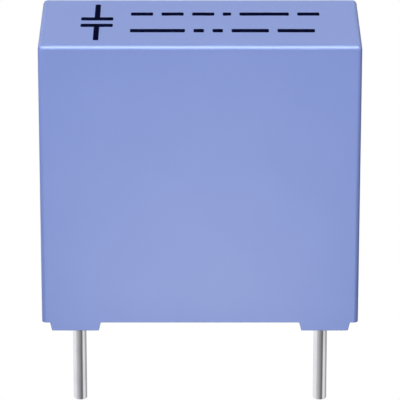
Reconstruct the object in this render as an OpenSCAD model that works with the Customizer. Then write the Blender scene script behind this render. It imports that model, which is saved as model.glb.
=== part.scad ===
// Box film capacitor with two radial wire leads, made to be soldered into a circuit board.
// The leads point down. The origin lies midway between them, on the plane that the feet stand on.
// X runs from lead to lead and the front looks towards -Y. All sizes are in millimetres.

/* [Case] */
// Length of the moulded case, along the line of the leads
case_length = 12.85; // [11.8:0.05:16]
// Width of the case, from front to back
case_width = 6.1; // [4:0.1:9]
// Height of the case above the board, feet included
case_height = 12.2; // [9:0.1:18]
// Thickness of the case's walls and of its top
case_wall = 0.6; // [0.4:0.05:0.8]
// Radius of the case's outer edges
case_edge_radius = 0.18; // [0.1:0.01:0.6]
// Radius of the upright corners inside the case
cavity_corner_radius = 0.2; // [0.05:0.05:0.5]

/* [Feet] */
// Height of the feet, which hold the rim clear of the board
foot_height = 0.35; // [0.2:0.05:1]
// Length of a foot where it leaves the rim
foot_root_length = 2.06; // [1:0.01:3]
// Distance from the end of the case to the root of a foot
foot_end_gap = 0.33; // [0.05:0.01:1]
// Lean of a foot's two ends, from upright
foot_end_angle = 13; // [0:1:30]

/* [Leads] */
// Distance between the centres of the leads
lead_pitch = 10; // [7:0.1:11]
// Diameter of the tinned wire
lead_diameter = 0.56; // [0.4:0.02:0.7]
// Length of the leads below the feet
lead_length = 4.3; // [2.5:0.1:30]
// Chamfer that the cut leaves around a lead's tip
lead_tip_chamfer = 0.04; // [0.01:0.01:0.1]
// Thickness of the flattened tail that is welded to the winding
tail_thickness = 0.3; // [0.2:0.02:0.4]
// Height over which the round wire goes flat, inside the resin
tail_taper_height = 0.7; // [0.4:0.1:1.2]
// Length of the tail that lies on the contact layer
tail_weld_length = 5; // [2:0.5:8]

/* [Winding] */
// Gap between the winding and the case at the front and back
winding_side_gap = 0.3; // [0.1:0.05:0.6]
// Gap between the winding and the top of the case
winding_top_gap = 0.5; // [0.2:0.1:1.5]
// Depth of resin below the winding
seal_depth = 1.5; // [1.3:0.1:3]
// Thickness of the sprayed metal on each end of the winding
contact_thickness = 0.4; // [0.2:0.05:0.8]

/* [Resin] */
// Depth of the resin's surface inside the rim
resin_recess = 0.25; // [0.05:0.05:0.6]
// Height of the collar in which the resin clings to each lead
collar_height = 0.3; // [0.1:0.05:0.8]
// Radius of the collar where it leaves the resin's surface
collar_radius = 0.7; // [0.5:0.05:0.8]
// Thickness of the collar's thin edge around the wire
collar_edge = 0.03; // [0.01:0.01:0.1]

/* [Hidden] */
$fn = 64;
cavity_length = case_length - 2 * case_wall;
cavity_width = case_width - 2 * case_wall;
cavity_top = case_height - case_wall;
foot_end_lean = foot_height * tan(foot_end_angle);
foot_root_x = case_length / 2 - foot_end_gap;
resin_surface = foot_height + resin_recess;
// Height at which a lead leaves its collar
lead_exit = resin_surface - collar_height;
winding_bottom = resin_surface + seal_depth;
winding_height = cavity_top - winding_top_gap - winding_bottom;
winding_thickness = cavity_width - 2 * winding_side_gap;
contact_outer_x = lead_pitch / 2 - tail_thickness / 2;
winding_length = 2 * (contact_outer_x - contact_thickness);
lead_radius = lead_diameter / 2;
// The flattened tail keeps the cross-section of the round wire
tail_width = PI * lead_radius ^ 2 / tail_thickness;
tail_bottom = lead_exit + tail_taper_height;
tail_top = winding_bottom + tail_weld_length;
// Height of the slices between which the wire goes flat
taper_slice = tail_taper_height / 50;
LEFT = -1;
RIGHT = 1;

// Rectangle about the origin with four round corners
module rounded_rectangle(length, width, radius) {
    square([length - 2 * radius, width], center = true);
    square([length, width - 2 * radius], center = true);
    for (x = [-1, 1], y = [-1, 1])
        translate([x * (length / 2 - radius), y * (width / 2 - radius)]) circle(radius);
}

// Upright outline that stands on the x axis, with its two upper corners round
module round_topped_outline(length, height, radius) {
    translate([-length / 2, 0]) square([length, height - radius]);
    translate([radius - length / 2, 0]) square([length - 2 * radius, height]);
    for (x = [-1, 1])
        translate([x * (length / 2 - radius), height - radius]) circle(radius);
}

// Lower edge of the case seen from the front: the rim, the feet and a strip of wall above them
module rim_outline() {
    foot_inner_x = foot_root_x - foot_root_length;
    wall_top = foot_height + case_wall;
    right_half = [
        [foot_inner_x, foot_height],
        [foot_inner_x + foot_end_lean, 0],
        [foot_root_x - foot_end_lean, 0],
        [foot_root_x, foot_height],
        [case_length / 2, foot_height],
        [case_length / 2, wall_top]
    ];
    left_half = [for (i = [len(right_half) - 1:-1:0]) [-right_half[i].x, right_half[i].y]];
    polygon(concat(right_half, left_half));
}

// Case seen from the front, feet included
module case_front_outline() {
    rim_outline();
    translate([0, foot_height])
        round_topped_outline(case_length, case_height - foot_height, case_edge_radius);
}

// Space inside the case, from a given height up to its top
module cavity(bottom) {
    translate([0, 0, bottom])
        linear_extrude(cavity_top - bottom)
            rounded_rectangle(cavity_length, cavity_width, cavity_corner_radius);
}

// Flattened roll: a slab along X whose upper and lower edges are half round
module flat_roll(length) {
    radius = winding_thickness / 2;
    translate([0, 0, winding_bottom])
        rotate([90, 0, 90])
            linear_extrude(length, center = true) {
                translate([-radius, radius]) square([winding_thickness, winding_height - winding_thickness]);
                for (y = [radius, winding_height - radius]) translate([0, y]) circle(radius);
            }
}

// Sprayed metal on one end of the winding
module contact_layer(side) {
    translate([side * (contact_outer_x - contact_thickness / 2), 0, 0]) flat_roll(contact_thickness);
}

// Slice of the flattened tail, standing on a given height
module tail_slice(bottom, height) {
    translate([-tail_thickness / 2, -tail_width / 2, bottom])
        cube([tail_thickness, tail_width, height]);
}

// Tinned wire: round from its cut tip up into the resin, then pressed flat against the contact layer
module lead(side) {
    translate([side * lead_pitch / 2, 0, 0]) {
        translate([0, 0, -lead_length])
            cylinder(h = lead_tip_chamfer, r1 = lead_radius - lead_tip_chamfer, r2 = lead_radius);
        translate([0, 0, lead_tip_chamfer - lead_length])
            cylinder(h = lead_length - lead_tip_chamfer + lead_exit, r = lead_radius);
        hull() {
            translate([0, 0, lead_exit]) cylinder(h = taper_slice, r = lead_radius, $fn = 32);
            tail_slice(tail_bottom, taper_slice);
        }
        tail_slice(tail_bottom, tail_top - tail_bottom);
    }
}

// Moulded box, open below, with the feet as part of its front and back walls
module case() {
    color([0.57, 0.64, 0.84]) difference() {
        intersection() {
            linear_extrude(case_height)
                rounded_rectangle(case_length, case_width, case_edge_radius);
            rotate([90, 0, 0])
                linear_extrude(case_width, center = true) case_front_outline();
            rotate([90, 0, 90])
                linear_extrude(case_length, center = true)
                    round_topped_outline(case_width, case_height, case_edge_radius);
        }
        cavity(-foot_height);
        // The feet stand under the front and back walls, not under the ends
        translate([-case_length / 2, -cavity_width / 2, -foot_height])
            cube([case_length, cavity_width, 2 * foot_height]);
    }
}

// Roll of metallised film, its turns pressed into one solid
module film_winding() {
    color([0.78, 0.78, 0.76]) flat_roll(winding_length);
}

module contact_layer_left() {
    color([0.62, 0.63, 0.64]) contact_layer(LEFT);
}

module contact_layer_right() {
    color([0.62, 0.63, 0.64]) contact_layer(RIGHT);
}

module lead_left() {
    color([0.8, 0.8, 0.81]) lead(LEFT);
}

module lead_right() {
    color([0.8, 0.8, 0.81]) lead(RIGHT);
}

// Resin that clings to one lead, down to a thin edge
module resin_collar(side) {
    translate([side * lead_pitch / 2, 0, lead_exit])
        cylinder(h = collar_height, r1 = lead_radius + collar_edge, r2 = collar_radius);
}

// Cast filling of all the space that the other pieces leave in the case
module sealing_resin() {
    color([0.5, 0.57, 0.75]) difference() {
        union() {
            cavity(resin_surface);
            intersection() {
                cavity(lead_exit);
                for (side = [LEFT, RIGHT]) resin_collar(side);
            }
        }
        flat_roll(2 * contact_outer_x);
        for (side = [LEFT, RIGHT]) lead(side);
    }
}

case();
sealing_resin();
film_winding();
contact_layer_left();
contact_layer_right();
lead_left();
lead_right();
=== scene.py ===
import math

import bmesh
import bpy
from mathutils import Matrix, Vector


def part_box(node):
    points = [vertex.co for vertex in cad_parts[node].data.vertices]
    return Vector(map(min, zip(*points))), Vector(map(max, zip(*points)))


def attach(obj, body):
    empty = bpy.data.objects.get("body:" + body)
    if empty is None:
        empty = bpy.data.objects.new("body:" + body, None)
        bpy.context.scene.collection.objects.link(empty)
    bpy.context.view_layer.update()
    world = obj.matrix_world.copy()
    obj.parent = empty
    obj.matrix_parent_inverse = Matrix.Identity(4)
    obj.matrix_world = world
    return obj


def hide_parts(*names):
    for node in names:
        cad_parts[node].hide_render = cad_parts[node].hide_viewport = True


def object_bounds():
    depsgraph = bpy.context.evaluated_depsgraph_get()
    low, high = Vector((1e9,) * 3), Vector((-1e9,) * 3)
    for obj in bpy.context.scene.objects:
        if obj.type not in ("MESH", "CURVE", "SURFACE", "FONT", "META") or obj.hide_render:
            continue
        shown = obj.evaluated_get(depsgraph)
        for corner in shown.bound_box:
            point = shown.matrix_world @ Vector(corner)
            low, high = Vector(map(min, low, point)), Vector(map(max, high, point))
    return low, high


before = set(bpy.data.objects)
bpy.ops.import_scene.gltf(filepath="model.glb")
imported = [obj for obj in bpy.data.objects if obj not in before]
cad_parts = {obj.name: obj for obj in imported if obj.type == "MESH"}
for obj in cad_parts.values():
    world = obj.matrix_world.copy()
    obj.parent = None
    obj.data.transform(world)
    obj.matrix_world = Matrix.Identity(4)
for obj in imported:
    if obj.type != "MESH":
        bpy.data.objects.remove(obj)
cad_low, cad_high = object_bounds()


# The film winding: two plastic films with a breath of metal on them, rolled up together and pressed
# flat. Its many turns show as fine silvery bands. It lies unseen in the resin.

mm = 0.001
film_silver = (0.55, 0.56, 0.55, 1)
film_shade = (0.30, 0.31, 0.32, 1)
film_turn_pitch = 0.06 * mm
film_turn_depth = 0.004 * mm
film_gleam_size = 0.8 * mm
film_gleam_share = 0.5
film_metal = 0.6
film_roughness = (0.25, 0.45)
upright_streaks = (1, 1, 0.3)


class Wired:
    """An output socket of some nodes. Sums on it are Python expressions, and make adds any other node."""

    def __init__(self, tree, socket):
        self.tree = tree
        self.socket = socket

    def make(self, kind, settings, inputs, output=0):
        """Adds a node, with its settings set first, and gives one of its outputs."""
        node = self.tree.nodes.new(kind)
        for name, value in settings.items():
            if name == "stops":
                (position, colour), *others = value
                stops = node.color_ramp.elements
                stops.remove(stops[1])
                stops[0].position = position
                stops[0].color = colour
                for position, colour in others:
                    stops.new(position).color = colour
            else:
                setattr(node, name, value)
        return self.plug(node, inputs, output)

    def plug(self, node, inputs, output=0):
        """Gives a node's sockets their values or links."""
        for name, value in inputs.items():
            if isinstance(value, Wired):
                self.tree.links.new(value.socket, node.inputs[name])
            else:
                node.inputs[name].default_value = value
        return Wired(self.tree, node.outputs[output])

    def sum(self, operation, first, second):
        """One step of arithmetic."""
        return self.make("ShaderNodeMath", {"operation": operation}, {0: first, 1: second})

    def __add__(self, other):
        return self.sum("ADD", self, other)

    def __radd__(self, other):
        return self.sum("ADD", other, self)

    def __sub__(self, other):
        return self.sum("SUBTRACT", self, other)

    def __rsub__(self, other):
        return self.sum("SUBTRACT", other, self)

    def __mul__(self, other):
        return self.sum("MULTIPLY", self, other)

    def __rmul__(self, other):
        return self.sum("MULTIPLY", other, self)

    def along(self, axis):
        """How far this place lies along X, Y or Z."""
        return self.make("ShaderNodeSeparateXYZ", {}, {"Vector": self}, axis)

    def between(self, low, high):
        """0 below low, 1 above high and smooth in between."""
        inputs = {"Value": self, "From Min": low, "From Max": high}
        return self.make("ShaderNodeMapRange", {"interpolation_type": "SMOOTHSTEP"}, inputs)

    def span(self, low, high):
        """Low where this value is 0 and high where it is 1."""
        return low + (high - low) * self

    def mixed(self, other, share):
        """This value, with a share of another in place of as much of its own."""
        return self * (1 - share) + other * share

    def blend(self, first, second):
        """The first colour where this value is 0 and the second where it is 1."""
        return self.make("ShaderNodeMix", {"data_type": "RGBA"}, {0: self, 6: first, 7: second}, 2)

    def cloud(self, size, detail=2.0, squeeze=(1, 1, 1)):
        """Noise at this place in lumps of a size, drawn out along an axis that squeeze makes small."""
        place = self.make("ShaderNodeMapping", {}, {"Vector": self, "Scale": squeeze})
        return self.make("ShaderNodeTexNoise", {}, {"Vector": place, "Scale": 1 / size, "Detail": detail})

    def relief(self, height):
        """A surface that rises by a height, in metres, where this value goes from 0 to 1."""
        return self.make("ShaderNodeBump", {}, {"Height": self, "Distance": height, "Strength": 1.0})


def coordinates(tree, kind):
    """Texture coordinates of one kind, to start a tree of nodes from."""
    return Wired(tree, tree.nodes.new("ShaderNodeTexCoord").outputs[kind])


def new_finish(name):
    """A new material, the place of a point on it and its shader."""
    material = bpy.data.materials.new(name)
    material.use_nodes = True
    tree = material.node_tree
    return material, coordinates(tree, "Object"), tree.nodes["Principled BSDF"]


def dress(node, finish):
    """Gives one of the frame's own solids a finish."""
    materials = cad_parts[node].data.materials
    materials.clear()
    materials.append(finish)


pressed_film, place, shader = new_finish("pressed_film")
from_front = place.along("Y")
turns = from_front.sum("PINGPONG", from_front, film_turn_pitch) * (1 / film_turn_pitch)
gleam = place.cloud(film_gleam_size, squeeze=upright_streaks)
place.plug(shader, {
    "Base Color": turns.mixed(gleam, film_gleam_share).blend(film_shade, film_silver),
    "Roughness": gleam.span(*film_roughness),
    "Metallic": film_metal,
    "Normal": turns.relief(film_turn_depth),
})
dress("film_winding", pressed_film)


# The contact layers: zinc sprayed molten on both ends of the winding, so that it joins all the turns.
# It sets as a rough crust of flattened drops, to which the leads are welded.

zinc_light = (0.45, 0.46, 0.47, 1)
zinc_dark = (0.17, 0.17, 0.18, 1)
zinc_darkening = (0.2, 0.7)
zinc_drop_size = 0.12 * mm
zinc_drop_height = 0.05 * mm
zinc_soot_size = 0.5 * mm
zinc_soot_share = 0.4
zinc_metal = 0.9
zinc_roughness = (0.55, 0.85)

sprayed_zinc, place, shader = new_finish("sprayed_zinc")
drop_edges = place.make(
    "ShaderNodeTexVoronoi", {"feature": "SMOOTH_F1"}, {"Vector": place, "Scale": 1 / zinc_drop_size},
)
soot = place.cloud(zinc_soot_size, detail=4.0)
darkness = drop_edges.mixed(soot, zinc_soot_share).between(*zinc_darkening)
place.plug(shader, {
    "Base Color": darkness.blend(zinc_light, zinc_dark),
    "Roughness": soot.span(*zinc_roughness),
    "Metallic": zinc_metal,
    "Normal": (1 - drop_edges).relief(zinc_drop_height),
})
for side in ("left", "right"):
    dress("contact_layer_" + side, sprayed_zinc)


# The leads: two straight copper wires, drawn, tinned bright and sheared off at the tip. Inside the
# resin each is pressed flat and welded to the contact layer beside it.

wire_segments = 96
wire_tip_chamfer = 0.04 * mm
wire_tip_steps = 3
wire_tail_thickness = 0.3 * mm
wire_taper_height = 0.7 * mm
wire_exit_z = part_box("sealing_resin")[0].z
sharp_edge_angle = math.radians(35)
tin_bright = (0.90, 0.90, 0.91, 1)
tin_dull = (0.78, 0.78, 0.80, 1)
tin_dulling = (0.4, 0.8)
tin_skin_size = 0.3 * mm
tin_skin_in_relief = 0.4
tin_roughness = (0.07, 0.17)
die_line_width = 0.035 * mm
die_line_depth = 0.0008 * mm
die_line_streaks = (1, 1, 0.01)
die_lines_in_roughness = 0.4

tinned_wire, place, shader = new_finish("tinned_wire")
die_lines = place.cloud(die_line_width, detail=3.0, squeeze=die_line_streaks)
tin_skin = place.cloud(tin_skin_size, detail=3.0, squeeze=upright_streaks)
place.plug(shader, {
    "Base Color": tin_skin.between(*tin_dulling).blend(tin_bright, tin_dull),
    "Roughness": tin_skin.mixed(die_lines, die_lines_in_roughness).span(*tin_roughness),
    "Metallic": 1.0,
    "Normal": die_lines.mixed(tin_skin, tin_skin_in_relief).relief(die_line_depth),
})


def place_piece(name, shape, finish):
    """Makes a modelled shape an object that rides with the part, smooth but for its sharp edges."""
    mesh = bpy.data.meshes.new(name)
    shape.to_mesh(mesh)
    shape.free()
    mesh.materials.append(finish)
    mesh.shade_smooth()
    mesh.set_sharp_from_angle(angle=sharp_edge_angle)
    piece = bpy.data.objects.new(name, mesh)
    bpy.context.collection.objects.link(piece)
    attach(piece, "root")
    return piece


def round_edges(shape, edges, radius, steps):
    """Rounds some edges of a shape."""
    bmesh.ops.bevel(
        shape, geom=edges, offset=radius, affect="EDGES", segments=steps, profile=0.5, material=-1,
        clamp_overlap=True,
    )


def draw_out(shape, faces, rise):
    """Draws faces out along Z and returns their points at the new height."""
    edges = {edge for face in faces for edge in face.edges}
    drawn = bmesh.ops.extrude_face_region(shape, geom=faces + list(edges))["geom"]
    points = [item for item in drawn if isinstance(item, bmesh.types.BMVert)]
    bmesh.ops.translate(shape, verts=points, vec=(0, 0, rise))
    return points


wires = []
for side in ("left", "right"):
    low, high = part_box("lead_" + side)
    wire_x = (high.x + low.x) / 2
    wire_radius = (high.x - low.x) / 2
    wires.append((wire_x, wire_radius))
    tail_half_width = (high.y - low.y) / 2
    round_length = wire_exit_z - low.z
    wire = bmesh.new()
    bmesh.ops.create_cone(
        wire, cap_ends=True, segments=wire_segments,
        radius1=wire_radius, radius2=wire_radius, depth=round_length,
    )
    ends = [face for face in wire.faces if len(face.verts) == wire_segments]
    tip, top = sorted(ends, key=lambda face: face.calc_center_median().z)
    pressed = draw_out(wire, [top], wire_taper_height)
    for point in pressed:
        past_edge = max(abs(point.co.x) / (wire_tail_thickness / 2), abs(point.co.y) / tail_half_width)
        point.co.xy = point.co.xy / past_edge
    flat = next(face for face in wire.faces if all(point in pressed for point in face.verts))
    draw_out(wire, [flat], high.z - wire_exit_z - wire_taper_height)
    round_edges(wire, list(tip.edges), wire_tip_chamfer, wire_tip_steps)
    bmesh.ops.translate(wire, verts=wire.verts, vec=(wire_x, 0, low.z + round_length / 2))
    lead = place_piece("wire_" + side, wire, tinned_wire)
    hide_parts("lead_" + side)


# The case: a thin box of light blue thermoplastic, injection moulded with its open side down. Four low
# feet under its long walls keep the rim clear of the board. Its satin skin is the mould's own.

case_low, case_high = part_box("case")
cavity_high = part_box("sealing_resin")[1]
case_wall = case_high.x - cavity_high.x
case_edge_radius = 0.18 * mm
case_edge_steps = 10
cavity_corner_radius = 0.2 * mm
cavity_corner_steps = 6
rim_edge_radius = 0.03 * mm
rim_edge_steps = 3
foot_height = 0.35 * mm
foot_root_length = 2.06 * mm
foot_end_gap = 0.33 * mm
foot_end_angle = math.radians(13)
foot_end_lean = foot_height * math.tan(foot_end_angle)
ink_thickness = 0.01 * mm
rim_z = case_low.z + foot_height
case_top = case_high.z - ink_thickness
tiny = 0.001 * mm
flat_angle = math.radians(0.5)
lengthways = Vector((1, 0, 0))
crossways = Vector((0, 1, 0))
upwards = Vector((0, 0, 1))
case_blue = (0.219, 0.295, 0.660, 1)
case_blue_pale = (0.225, 0.301, 0.666, 1)
case_paling = (0.3, 0.7)
case_flow_size = 2.6 * mm
case_gloss = 0.3
case_roughness = (0.38, 0.48)
spark_grain_size = 0.07 * mm
spark_grain_depth = 0.002 * mm

moulded_plastic, place, shader = new_finish("moulded_plastic")
spark_grain = place.cloud(spark_grain_size, detail=4.0)
flow = place.cloud(case_flow_size, detail=3.0)
place.plug(shader, {
    "Base Color": flow.between(*case_paling).blend(case_blue, case_blue_pale),
    "Roughness": spark_grain.span(*case_roughness),
    "Specular IOR Level": case_gloss,
    "Normal": spark_grain.relief(spark_grain_depth),
})


def add_box(shape, length, width, bottom, top):
    """Adds a box about the Z axis to a shape and returns its points."""
    points = bmesh.ops.create_cube(shape, size=1)["verts"]
    bmesh.ops.scale(shape, verts=points, vec=(length, width, top - bottom))
    bmesh.ops.translate(shape, verts=points, vec=(0, 0, (top + bottom) / 2))
    return points


box = bmesh.new()
add_box(box, 2 * case_high.x, 2 * case_high.y, rim_z, case_top)
mouth = min(box.faces, key=lambda face: face.calc_center_median().z)
bmesh.ops.inset_region(box, faces=[mouth], thickness=case_wall, use_even_offset=True)
bmesh.ops.inset_region(box, faces=[mouth], thickness=0, depth=rim_z - cavity_high.z)

foot_outer_x = case_high.x - foot_end_gap
foot_inner_x = foot_outer_x - foot_root_length
for axis, reach in ((lengthways, foot_outer_x), (lengthways, foot_inner_x), (crossways, cavity_high.y)):
    for plane in (axis * reach, axis * -reach):
        everything = box.verts[:] + box.edges[:] + box.faces[:]
        bmesh.ops.bisect_plane(box, geom=everything, plane_co=plane, plane_no=axis, dist=tiny)


def is_foot_root(face):
    """True on the rim's faces that a foot grows from."""
    middle = face.calc_center_median()
    on_rim = abs(middle.z - rim_z) < tiny
    return on_rim and foot_inner_x < abs(middle.x) < foot_outer_x and abs(middle.y) > cavity_high.y


foot_middle_x = (foot_outer_x + foot_inner_x) / 2
for point in draw_out(box, [face for face in box.faces if is_foot_root(face)], -foot_height):
    from_middle = (abs(point.co.x) - foot_middle_x) / (foot_root_length / 2)
    point.co.x -= math.copysign(foot_end_lean, point.co.x) * from_middle
bmesh.ops.dissolve_limit(
    box, angle_limit=flat_angle, verts=box.verts, edges=box.edges, use_dissolve_boundaries=False,
)


def runs_along(edge, way):
    """True on an edge that runs straight along a way."""
    start, end = edge.verts
    return (end.co - start.co).cross(way).length < tiny


def highest(edge):
    """Height of an edge's upper end."""
    return max(point.co.z for point in edge.verts)


def lowest(edge):
    """Height of an edge's lower end."""
    return min(point.co.z for point in edge.verts)


cavity_corners = [
    edge for edge in box.edges
    if runs_along(edge, upwards) and abs(highest(edge) - cavity_high.z) < tiny
]
round_edges(box, cavity_corners, cavity_corner_radius, cavity_corner_steps)
outer_edges = [
    edge for edge in box.edges
    if lowest(edge) > case_top - tiny or runs_along(edge, upwards) and highest(edge) > case_top - tiny
]
round_edges(box, outer_edges, case_edge_radius, case_edge_steps)
rim_edges = [
    edge for edge in box.edges
    if edge.is_convex and edge.calc_face_angle(0) > sharp_edge_angle and lowest(edge) < rim_z + tiny
]
round_edges(box, rim_edges, rim_edge_radius, rim_edge_steps)
case = place_piece("moulded_case", box, moulded_plastic)
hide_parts("case")
even_light = case.modifiers.new("even_light", "WEIGHTED_NORMAL")
even_light.keep_sharp = True
even_light.weight = 100


# The sealing resin: epoxy poured into the upturned case around the winding. Its skin sinks a little as
# it sets, climbs the walls and clings to both leads in small collars.

resin_low, resin_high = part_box("sealing_resin")
resin_recess = 0.25 * mm
resin_surface = rim_z + resin_recess
resin_climb = 0.12 * mm
resin_climb_width = 0.5 * mm
resin_climb_steps = 8
collar_radius = 0.7 * mm
collar_edge = 0.03 * mm
collar_steps = 10
collar_segments = 64
pocket_round_share = 0.499
pocket_round_steps = 16
resin_blue = (0.150, 0.205, 0.430, 1)
resin_blue_grey = (0.195, 0.245, 0.450, 1)
resin_greying = (0.35, 0.65)
resin_roughness = (0.16, 0.36)
resin_wave_size = 1.4 * mm
resin_wave_height = 0.02 * mm
filler_size = 0.05 * mm
filler_in_colour = 0.4
filler_in_roughness = 0.3
filler_in_relief = 0.1

cast_resin, place, shader = new_finish("cast_resin")
waves = place.cloud(resin_wave_size, detail=1.5)
filler = place.cloud(filler_size)
greyness = waves.mixed(filler, filler_in_colour).between(*resin_greying)
place.plug(shader, {
    "Base Color": greyness.blend(resin_blue, resin_blue_grey),
    "Roughness": waves.mixed(filler, filler_in_roughness).span(*resin_roughness),
    "Normal": waves.mixed(filler, filler_in_relief).relief(resin_wave_height),
})

resin = bmesh.new()
fall = resin_surface - resin_low.z
collar_top = resin_surface + fall
for wire_x, wire_radius in wires:
    reach = collar_radius - wire_radius - collar_edge
    outline = [(wire_radius, collar_top), (wire_radius, resin_low.z)]
    for step in range(collar_steps + 1):
        angle = math.pi / 2 * step / collar_steps
        outline.append((collar_radius - reach * math.cos(angle), resin_low.z + fall * math.sin(angle)))
    outline.append((collar_radius, collar_top))
    ring = [resin.verts.new((wire_x + radius, 0, height)) for radius, height in outline]
    loop = [resin.edges.new(pair) for pair in zip(ring, ring[1:] + ring[:1])]
    bmesh.ops.spin(
        resin, geom=ring + loop, cent=(wire_x, 0, 0), axis=upwards, angle=2 * math.pi,
        steps=collar_segments, use_merge=True,
    )
bmesh.ops.remove_doubles(resin, verts=resin.verts, dist=tiny)
bmesh.ops.recalc_face_normals(resin, faces=resin.faces)

pocket_low, pocket_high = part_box("film_winding")
pocket_length = 2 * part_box("contact_layer_right")[1].x
pocket_width = pocket_high.y - pocket_low.y
pocket = add_box(resin, pocket_length, pocket_width, pocket_low.z, pocket_high.z)
pocket_faces = {face for point in pocket for face in point.link_faces}
pocket_edges = {edge for point in pocket for edge in point.link_edges}
bmesh.ops.reverse_faces(resin, faces=list(pocket_faces))
long_edges = [edge for edge in pocket_edges if runs_along(edge, lengthways)]
round_edges(resin, long_edges, pocket_width * pocket_round_share, pocket_round_steps)

block = add_box(resin, 2 * resin_high.x, 2 * resin_high.y, resin_surface - resin_climb, resin_high.z)
block_faces = {face for point in block for face in point.link_faces}
block_edges = {edge for point in block for edge in point.link_edges}
block_corners = [edge for edge in block_edges if runs_along(edge, upwards)]
skin = min(block_faces, key=lambda face: face.calc_center_median().z)
climbed = 0
for step in range(resin_climb_steps):
    share_left = 1 - (step + 1) / resin_climb_steps
    rise = resin_climb * (1 - share_left ** 2)
    bmesh.ops.inset_region(
        resin, faces=[skin], thickness=resin_climb_width / resin_climb_steps, depth=climbed - rise,
        use_even_offset=True,
    )
    climbed = rise
round_edges(resin, block_corners, cavity_corner_radius, cavity_corner_steps)
filling = place_piece("cast_resin", resin, cast_resin)
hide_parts("sealing_resin")


# The marking: dark ink stamped on the case's top in one film, thinner than a hair. It is the circuit
# sign for a capacitor beside two rows of plain bars.

ink_black = (0.0002, 0.0006, 0.010, 1)
ink_navy = (0.0006, 0.002, 0.026, 1)
ink_bluing = (0.35, 0.7)
ink_gloss = 0.005
ink_roughness = (0.6, 0.8)
ink_grain_size = 0.18 * mm
ink_grain_height = 0.002 * mm
ink_corner_radius = 0.07 * mm
ink_corner_steps = 5
sign_x = -4.15 * mm
sign_plate_length = 1.3 * mm
sign_plate_width = 0.38 * mm
sign_plate_y = 0.42 * mm
sign_lead_width = 0.22 * mm
sign_reach = 2.3 * mm
back_row_y = 1.05 * mm
back_row_height = 0.38 * mm
back_row_bars = (0.9 * mm, 0.9 * mm, 0.9 * mm, 0.34 * mm, 2.0 * mm, 0.9 * mm)
front_row_y = -1.1 * mm
front_row_height = 0.40 * mm
front_row_bars = (2.2 * mm, 0.42 * mm, 0.42 * mm, 1.5 * mm, 1.5 * mm)
row_start_x = -2.8 * mm
bar_gap = 0.34 * mm

stamped_ink, place, shader = new_finish("stamped_ink")
ink_grain = place.cloud(ink_grain_size, detail=4.0)
place.plug(shader, {
    "Base Color": ink_grain.between(*ink_bluing).blend(ink_black, ink_navy),
    "Roughness": ink_grain.span(*ink_roughness),
    "Specular IOR Level": ink_gloss,
    "Normal": ink_grain.relief(ink_grain_height),
})

ink = bmesh.new()


def stamp(middle_x, middle_y, length, width):
    """Adds a bar of ink with round corners to the marking."""
    bar = add_box(ink, length, width, case_top, case_high.z)
    bmesh.ops.translate(ink, verts=bar, vec=(middle_x, middle_y, 0))
    corners = {edge for point in bar for edge in point.link_edges if runs_along(edge, upwards)}
    round_edges(ink, list(corners), ink_corner_radius, ink_corner_steps)


sign_lead_inner = sign_plate_y + sign_plate_width / 2
sign_lead_length = sign_reach - sign_lead_inner + 2 * tiny
for side in (-1, 1):
    stamp(sign_x, side * sign_plate_y, sign_plate_length, sign_plate_width)
    stamp(sign_x, side * (sign_reach + sign_lead_inner) / 2, sign_lead_width, sign_lead_length)
for bars, row_y, row_height in (
    (back_row_bars, back_row_y, back_row_height), (front_row_bars, front_row_y, front_row_height),
):
    bar_x = row_start_x
    for length in bars:
        stamp(bar_x + length / 2, row_y, length, row_height)
        bar_x += length + bar_gap
place_piece("top_marking", ink, stamped_ink)


# The table: a wide white top, lit from within, on which the tips of the leads stand. It is a plain
# ground for the camera, and throws no light or mirror image on the part.

table_size = 4.0
table_black = (0, 0, 0, 1)
table_white = (1, 1, 1, 1)

lit_top, place, shader = new_finish("lit_top")
place.plug(shader, {
    "Base Color": table_black,
    "Specular IOR Level": 0,
    "Emission Color": table_white,
    "Emission Strength": 1,
})
table = bmesh.new()
bmesh.ops.create_grid(table, x_segments=1, y_segments=1, size=table_size / 2)
bmesh.ops.translate(table, verts=table.verts, vec=(0, 0, cad_low.z))
table_mesh = bpy.data.meshes.new("table")
table.to_mesh(table_mesh)
table.free()
table_mesh.materials.append(lit_top)
floor = bpy.data.objects.new("table", table_mesh)
bpy.context.collection.objects.link(floor)
floor.visible_glossy = False
floor.visible_diffuse = False
floor.visible_shadow = False


# The light: a soft lamp at the left in front, a close one above that only shines along the front edge,
# and two behind that light the back and the sides from below. A warm card on the table shines in the
# foot of the front, and a grey surround shines in the wires.

lamp_distance = 0.5
lamp_size = 0.22
edge_lamp_distance = 0.20
edge_lamp_size = 0.16
edge_lamp_tint = (0.85, 1, 0.75)
card_width = 12 * mm
card_depth = 26 * mm
card_from_case = 20 * mm
card_lift = 0.5 * mm
card_power = 0.0056
card_warmth = (1, 0.97, 0.68)
surround_tint = (0.985, 0.985, 1.03)
surround_greys = (
    (-180, 0.60), (-135, 0.90), (-80, 0.83), (-59, 0.62), (-40, 0.53), (0, 0.31), (33, 0.11),
    (46, 0.26), (59, 0.80), (95, 0.82), (118, 0.40), (160, 0.40), (180, 0.60),
)
surround_dimming = 0.95
sky_grey = (0.82, 0.83, 0.76, 1)
horizon = (-0.05, 0.2)

scene = bpy.context.scene
scene.view_settings.view_transform = "Standard"
case_middle = Vector((0, 0, (case_low.z + case_high.z) / 2))


def direction(azimuth, elevation):
    """The way from the part to something at these angles: azimuth 0 is the front, 90 the right."""
    azimuth = math.radians(azimuth)
    elevation = math.radians(elevation)
    level = math.cos(elevation)
    return Vector((math.sin(azimuth) * level, -math.cos(azimuth) * level, math.sin(elevation)))


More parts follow.
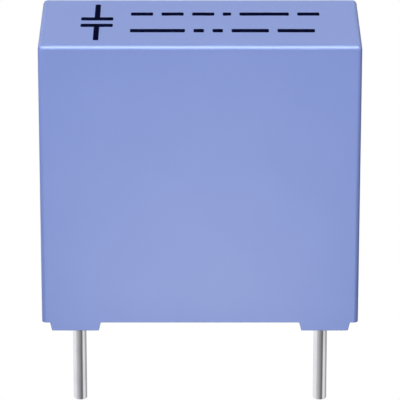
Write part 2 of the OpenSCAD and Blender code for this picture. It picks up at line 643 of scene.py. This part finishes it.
def hang_lamp(name, distance, size, azimuth, elevation, power, tint=(1, 1, 1), lights=True, shines=True):
    """A soft square lamp that looks at the part. It lights it, shines in its gloss, or both."""
    lamp = bpy.data.lights.new(name, "AREA")
    lamp.shape = "SQUARE"
    lamp.size = size
    lamp.energy = power
    lamp.color = tint
    holder = bpy.data.objects.new(name, lamp)
    way = direction(azimuth, elevation)
    holder.location = case_middle + way * distance
    holder.rotation_euler = way.to_track_quat("Z", "Y").to_euler()
    holder.visible_camera = False
    holder.visible_diffuse = lights
    holder.visible_glossy = shines
    bpy.context.collection.objects.link(holder)


hang_lamp("front_lamp", lamp_distance, lamp_size, azimuth=-16, elevation=44, power=3.3, shines=False)
hang_lamp(
    "edge_lamp", edge_lamp_distance, edge_lamp_size, azimuth=0, elevation=62, power=1.76,
    tint=edge_lamp_tint, lights=False,
)
hang_lamp("back_left_lamp", lamp_distance, lamp_size, azimuth=-145, elevation=-45, power=1.8, shines=False)
hang_lamp("back_right_lamp", lamp_distance, lamp_size, azimuth=145, elevation=-45, power=2.6, shines=False)

card = bpy.data.lights.new("front_card", "AREA")
card.shape = "RECTANGLE"
card.size = card_width
card.size_y = card_depth
card.energy = card_power
card.color = card_warmth
card_holder = bpy.data.objects.new("front_card", card)
card_holder.location = (0, case_low.y - card_from_case, cad_low.z + card_lift)
card_holder.rotation_euler = (math.pi, 0, 0)
card_holder.visible_camera = False
card_holder.visible_diffuse = False
card_sees = bpy.data.collections.new("front_card_sees")
card_sees.objects.link(case)
card_holder.light_linking.receiver_collection = card_sees
bpy.context.collection.objects.link(card_holder)

surround = bpy.data.worlds.new("surround")
surround.use_nodes = True
way = coordinates(surround.node_tree, "Generated")
across = way.along("X")
turn = across.sum("ARCTAN2", across, way.along("Y") * -1) * (0.5 / math.pi) + 0.5
stops = [
    (angle / 360 + 0.5, (*(grey * part for part in surround_tint), 1))
    for angle, grey in surround_greys
]
round_about = way.make("ShaderNodeValToRGB", {"stops": stops}, {"Fac": turn})
on_matt_skin = way.make("ShaderNodeLightPath", {}, {}, "Is Diffuse Ray")
way.plug(surround.node_tree.nodes["Background"], {
    "Color": way.along("Z").between(*horizon).blend(round_about, sky_grey),
    "Strength": 1 - surround_dimming * on_matt_skin,
})
scene.world = surround


# The camera: a long lens straight in front of the part, which looks down on it a little. It stands
# close enough that the case narrows towards its foot.

camera_target = Vector((0, 0, 4.529 * mm))
camera_elevation = 20.82
camera_distance = 151.3 * mm
camera_lens = 332
camera_sensor = 36
camera_near = 10 * mm

eye = bpy.data.objects.new("camera", bpy.data.cameras.new("camera"))
eye.data.lens = camera_lens
eye.data.sensor_width = camera_sensor
eye.data.clip_start = camera_near
way_to_eye = direction(0, camera_elevation)
eye.location = camera_target + way_to_eye * camera_distance
eye.rotation_euler = way_to_eye.to_track_quat("Z", "Y").to_euler()
bpy.context.collection.objects.link(eye)
scene.camera = eye
